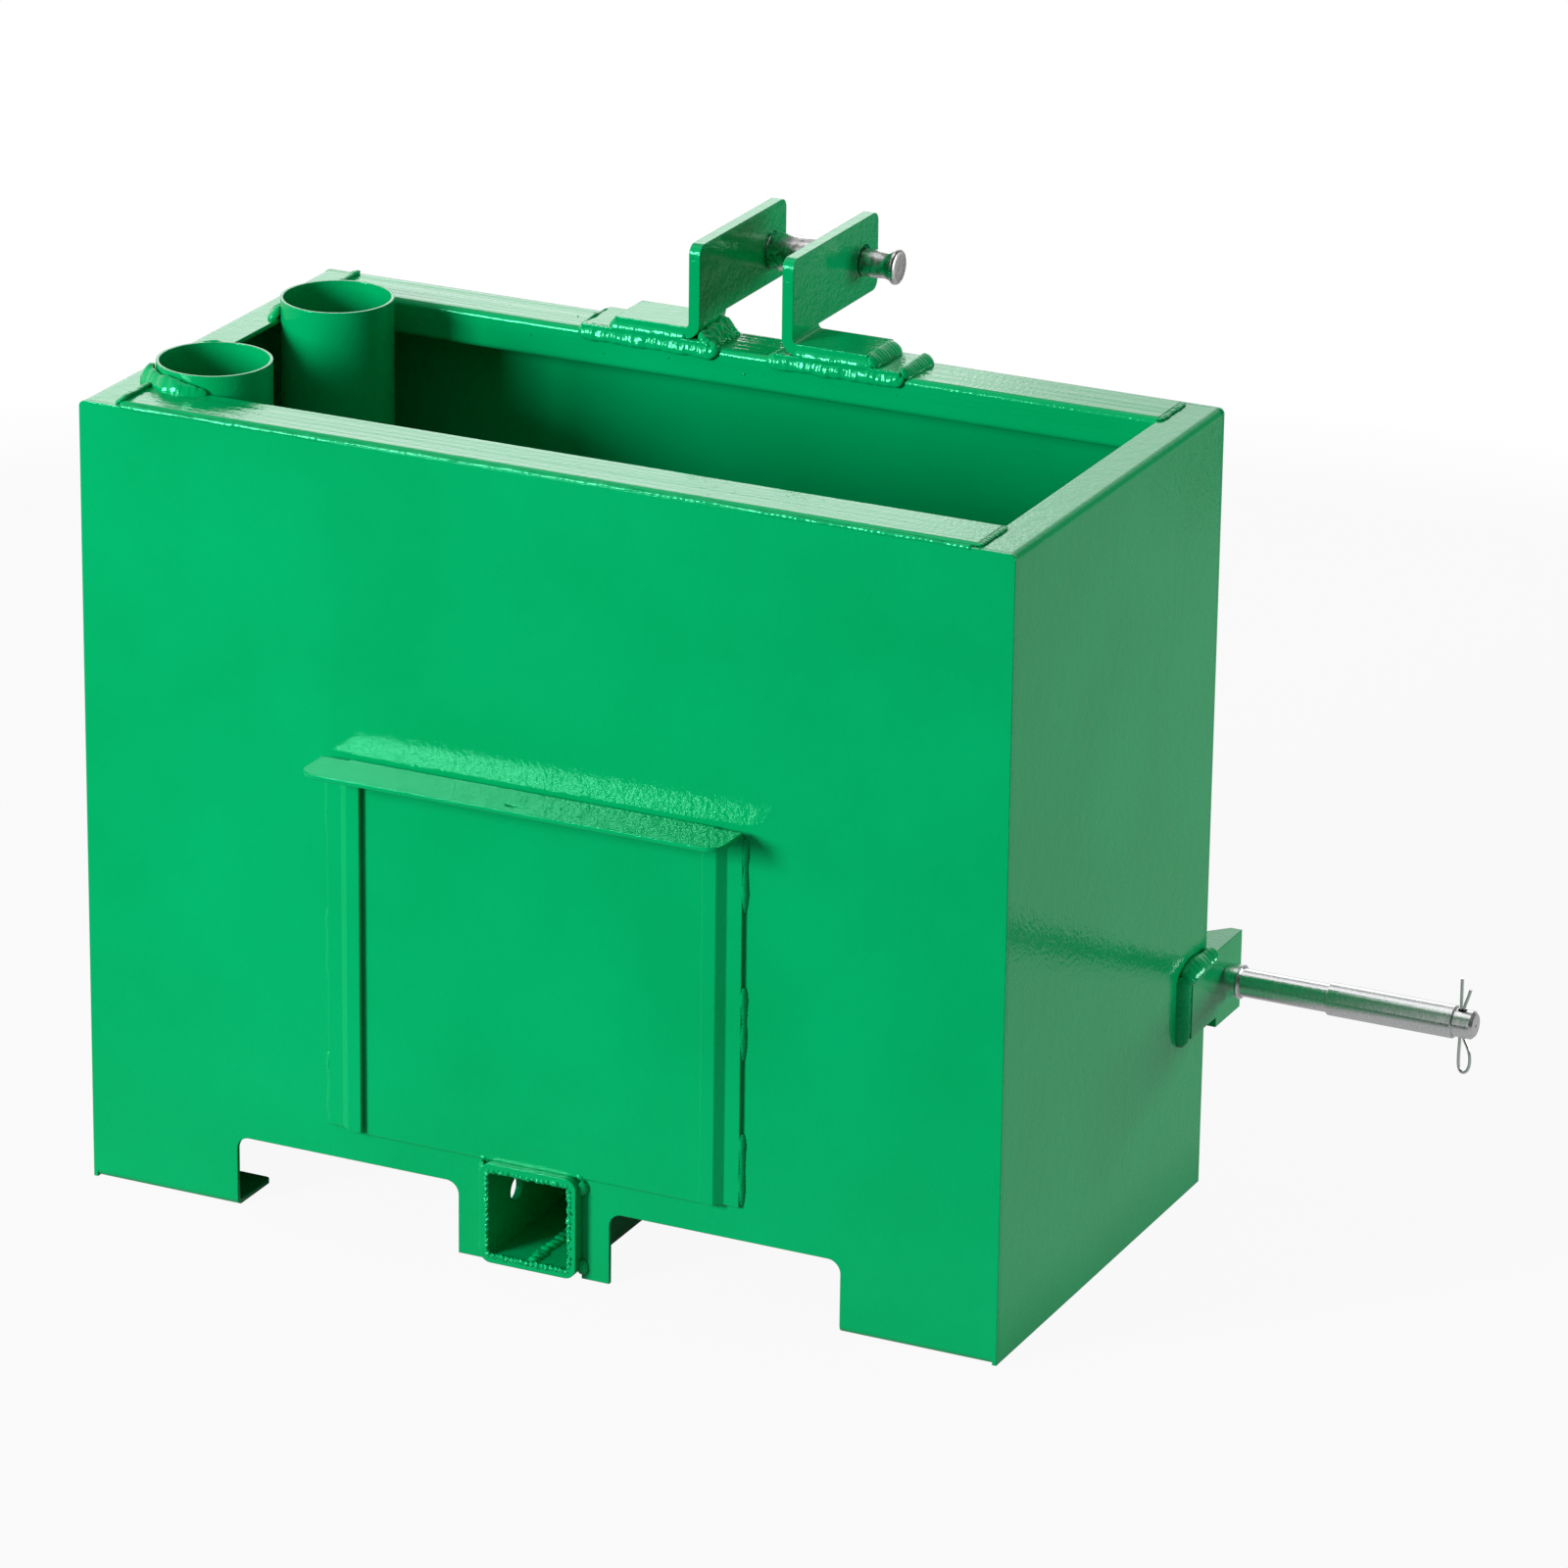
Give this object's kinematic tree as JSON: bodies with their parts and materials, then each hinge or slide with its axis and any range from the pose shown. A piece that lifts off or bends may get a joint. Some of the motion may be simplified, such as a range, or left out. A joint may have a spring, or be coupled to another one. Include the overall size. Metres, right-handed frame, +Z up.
{
  "type": "three-point hitch ballast box",
  "caption": "Welded sheet-steel ballast box with lower hitch pins, top-link clevis, receiver tube, fork pockets, tool tubes and a sliding discharge gate.",
  "frame": {"origin": "on the ground, at the middle of the outline seen from above", "axes": "+Z up, +X to the box's right seen from the gate side, +Y from the gate side to the hitch side"},
  "size_m": [1.028, 0.4646, 0.6135],
  "materials": {
    "green_paint": "glossy powder coat",
    "zinc": "bright zinc plating"
  },
  "bodies": {
    "box": {"front_panel": "green_paint", "rear_panel": "green_paint", "left_side_panel": "green_paint", "right_side_panel": "green_paint", "floor_plate": "green_paint", "front_rim_tube": "green_paint", "rear_rim_tube": "green_paint", "front_tool_tube": "green_paint", "rear_tool_tube": "green_paint", "receiver_tube": "green_paint", "left_gate_rail": "green_paint", "right_gate_rail": "green_paint", "left_pad_plate": "green_paint", "right_pad_plate": "green_paint", "left_top_bracket": "green_paint", "right_top_bracket": "green_paint", "left_pin_bracket": "green_paint", "right_pin_bracket": "green_paint", "left_hitch_pin": "zinc", "right_hitch_pin": "zinc", "left_pin_nut": "zinc", "right_pin_nut": "zinc", "left_lock_washer": "zinc", "right_lock_washer": "zinc", "left_pin_ring": "zinc", "right_pin_ring": "zinc", "rim_welds": "green_paint", "tool_tube_welds": "green_paint", "pad_welds": "green_paint", "rail_welds": "green_paint", "bracket_welds": "green_paint", "receiver_welds": "green_paint"},
    "gate": {"gate": "green_paint"},
    "top_pin": {"top_pin": "zinc", "top_cotter": "zinc"},
    "left_sleeve": {"left_pin_sleeve": "zinc"},
    "right_sleeve": {"right_pin_sleeve": "zinc"},
    "left_cotter": {"left_cotter": "zinc"},
    "right_cotter": {"right_cotter": "zinc"}
  },
  "joints": [
    {"name": "gate_lift", "type": "slide", "parent": "box", "child": "gate", "axis": [0, 0, 1], "range_m": [0, 0.24]},
    {"name": "top_pin_turn", "type": "hinge", "parent": "box", "child": "top_pin", "pos_m": [0, 0.20075, 0.58355], "axis": [1, 0, 0], "continuous": true},
    {"name": "left_sleeve_slide", "type": "slide", "parent": "box", "child": "left_sleeve", "axis": [1, 0, 0], "range_m": [0, 0.0618]},
    {"name": "right_sleeve_slide", "type": "slide", "parent": "box", "child": "right_sleeve", "axis": [-1, 0, 0], "range_m": [0, 0.0618]},
    {"name": "left_cotter_pull", "type": "slide", "parent": "box", "child": "left_cotter", "axis": [0, 0, -1], "range_m": [0, 0.08]},
    {"name": "right_cotter_pull", "type": "slide", "parent": "box", "child": "right_cotter", "axis": [0, 0, -1], "range_m": [0, 0.08]}
  ]
}
